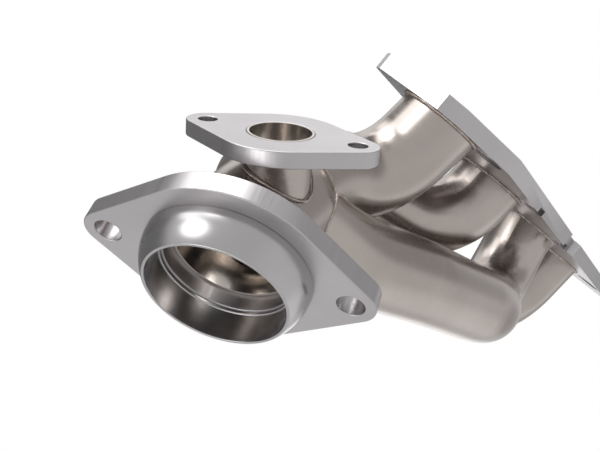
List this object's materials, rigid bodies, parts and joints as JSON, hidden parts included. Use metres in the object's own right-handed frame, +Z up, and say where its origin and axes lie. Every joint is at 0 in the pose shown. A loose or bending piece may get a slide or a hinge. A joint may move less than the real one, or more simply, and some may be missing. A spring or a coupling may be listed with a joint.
{
  "type": "exhaust header",
  "caption": "Welded tubular exhaust header: bent primary tubes run from a flat head flange into a merge collector with a ball-seat outlet flange and a small flanged side port.",
  "frame": {"origin": "middle of the row of ports on the gasket face of the head flange", "axes": "+X along the row of ports towards the collector, +Y into the engine, square to the gasket face, +Z up"},
  "size_m": [0.5241, 0.1561, 0.1375],
  "materials": {
    "stainless_tube": "satin",
    "flange_plate": "satin",
    "ball_steel": "satin",
    "weld_metal": "satin"
  },
  "bodies": {
    "root": {"head_flange": "flange_plate", "primary_tube_1": "stainless_tube", "primary_tube_2": "stainless_tube", "primary_tube_3": "stainless_tube", "primary_tube_4": "stainless_tube", "weld_port_1": "weld_metal", "weld_port_2": "weld_metal", "weld_port_3": "weld_metal", "weld_port_4": "weld_metal", "collector": "stainless_tube", "outlet_flange": "flange_plate", "ball_seat": "ball_steel", "weld_outlet": "weld_metal", "side_port_tube": "stainless_tube", "side_port_flange": "flange_plate", "weld_side_flange": "weld_metal", "weld_side_port": "weld_metal"}
  },
  "joints": []
}
